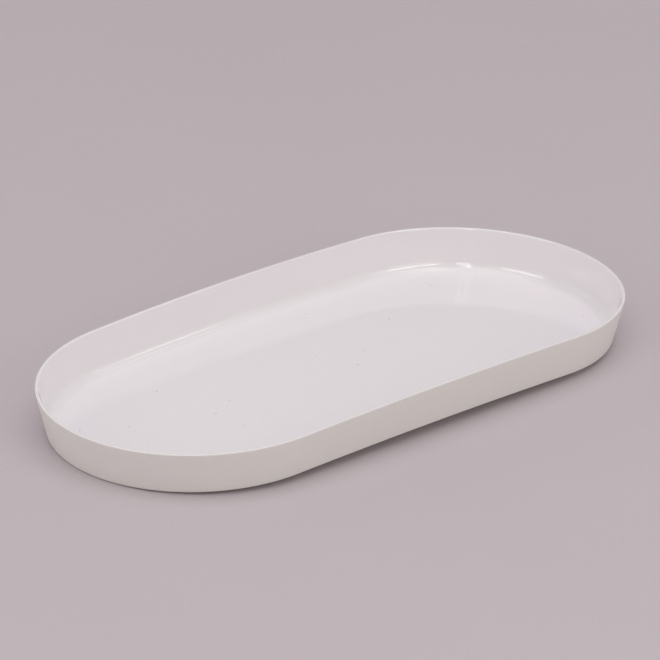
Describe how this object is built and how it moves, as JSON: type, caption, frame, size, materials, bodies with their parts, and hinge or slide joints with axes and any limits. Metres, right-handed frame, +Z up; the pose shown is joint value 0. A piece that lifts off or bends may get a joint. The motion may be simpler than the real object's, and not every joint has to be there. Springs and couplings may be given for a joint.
{
  "type": "oblong tray",
  "caption": "Shallow oblong tray with round ends, a flared thin wall, a rounded rim and a gently arched floor on soft round feet.",
  "frame": {"origin": "middle of the footprint, on the surface that the feet stand on", "axes": "+X along the tray towards its right end, +Y across it towards the rear side, +Z up"},
  "size_m": [0.38, 0.1834, 0.0308],
  "materials": {
    "shell_white": "smooth glossy white moulded plastic",
    "foot_rubber": "matt grey silicone rubber"
  },
  "bodies": {
    "root": {"tray_shell": "shell_white", "foot_front_left": "foot_rubber", "foot_front_right": "foot_rubber", "foot_rear_left": "foot_rubber", "foot_rear_right": "foot_rubber"}
  },
  "joints": []
}
